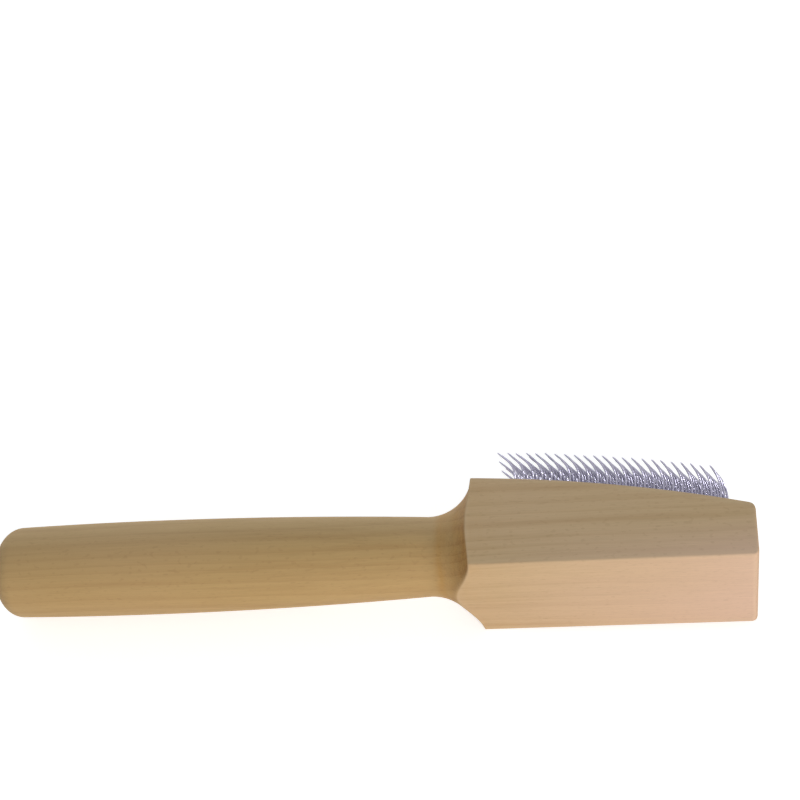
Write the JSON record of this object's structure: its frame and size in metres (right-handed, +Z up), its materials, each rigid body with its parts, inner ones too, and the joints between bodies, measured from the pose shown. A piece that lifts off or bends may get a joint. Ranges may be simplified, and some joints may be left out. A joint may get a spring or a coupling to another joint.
{
  "type": "suede brush",
  "caption": "Hand brush for suede soles: turned wooden handle and flat-sided head in one piece, with a card of bent steel wire on its crowned face.",
  "frame": {"origin": "middle of the underside of the brush's box, as it lies on one side face of the head", "axes": "+X along the brush to the toe of the head, +Y the way the wires point, +Z up through the side faces"},
  "size_m": [0.194, 0.0342, 0.034],
  "materials": {
    "beech": "sanded beech, fine lengthwise grain, no varnish gloss",
    "cotton": "plain cotton canvas",
    "rubber": "matt grey",
    "wire": "bright drawn wire",
    "staple": "galvanised flat wire"
  },
  "bodies": {
    "root": {"wooden_body": "beech", "card_backing": "cotton", "rubber_face": "rubber", "wire_strip_1": "wire", "wire_strip_2": "wire", "wire_strip_3": "wire", "wire_strip_4": "wire", "staple_neck_lower": "staple", "staple_neck_upper": "staple", "staple_toe_lower": "staple", "staple_toe_upper": "staple"}
  },
  "joints": []
}
